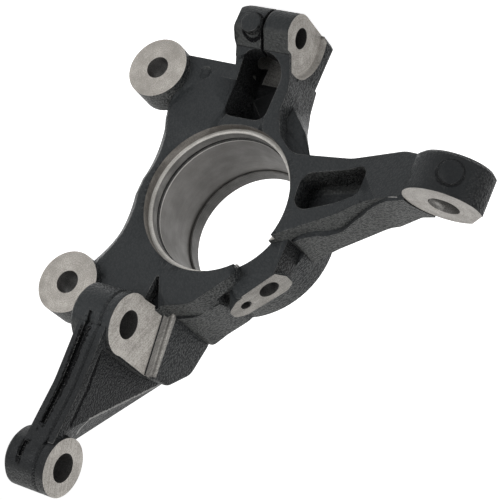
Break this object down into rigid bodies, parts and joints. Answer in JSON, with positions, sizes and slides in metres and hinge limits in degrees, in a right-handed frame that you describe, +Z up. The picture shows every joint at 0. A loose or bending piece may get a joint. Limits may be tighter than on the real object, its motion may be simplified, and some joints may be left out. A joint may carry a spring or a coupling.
{
  "type": "steering knuckle",
  "caption": "Cast steering knuckle of a strut suspension, holding the wheel bearing and joining strut, ball joint, tie rod and brake caliper.",
  "frame": {"origin": "centre of the bearing bore, at its inboard ledge", "axes": "+Y along the bore to its inboard mouth, +Z up to the strut flange, +X to the tie rod arm"},
  "size_m": [0.2351, 0.0934, 0.2865],
  "materials": {
    "casting": "black painted casting with bare machined faces"
  },
  "bodies": {
    "root": {"knuckle": "casting"}
  },
  "joints": []
}
